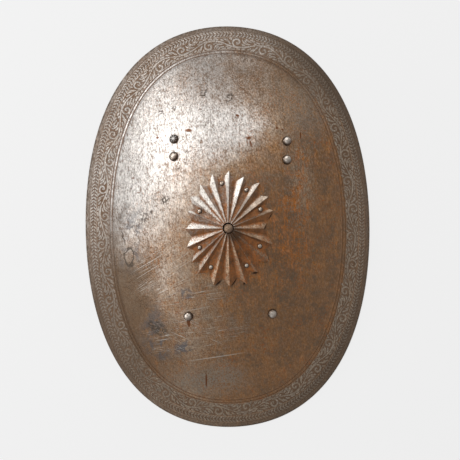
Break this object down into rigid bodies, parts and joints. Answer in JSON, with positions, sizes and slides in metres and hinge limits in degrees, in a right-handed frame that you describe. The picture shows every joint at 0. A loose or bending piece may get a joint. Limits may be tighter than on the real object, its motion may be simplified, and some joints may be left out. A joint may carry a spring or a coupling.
{
  "type": "buckler shield",
  "caption": "Oval domed steel buckler with an etched foliage border, domed rivets, a fluted star rosette at its middle and a short iron stud.",
  "frame": {"origin": "centre of the footprint, on the floor that the rim rests on", "axes": "+Z up through the dome, which faces up as the shield lies; +Y towards the shield's upper end; +X to the right as the face is looked down on with +Y up"},
  "size_m": [0.404, 0.57, 0.1113],
  "materials": {
    "plate_steel": "old satin steel with brown patina and etched border",
    "rosette_steel": "worn bright on the ridges, rust brown in the valleys",
    "rivet_steel": "worn satin",
    "daisy_steel": "dark, carved",
    "stud_iron": "rough, rust brown"
  },
  "bodies": {
    "root": {"shield_plate": "plate_steel", "rosette": "rosette_steel", "spike_stud": "stud_iron", "strap_rivet_daisy": "daisy_steel", "strap_rivet_upper_left": "rivet_steel", "strap_rivet_upper_right": "rivet_steel", "strap_rivet_middle_right": "rivet_steel", "strap_rivet_lower_left": "rivet_steel", "strap_rivet_lower_right": "rivet_steel", "rosette_rivet_right_high": "rivet_steel", "rosette_rivet_top_right": "rivet_steel", "rosette_rivet_top_left": "rivet_steel", "rosette_rivet_left_high": "rivet_steel", "rosette_rivet_left_low": "rivet_steel", "rosette_rivet_bottom_left": "rivet_steel", "rosette_rivet_bottom_right": "rivet_steel", "rosette_rivet_right_low": "rivet_steel"}
  },
  "joints": []
}
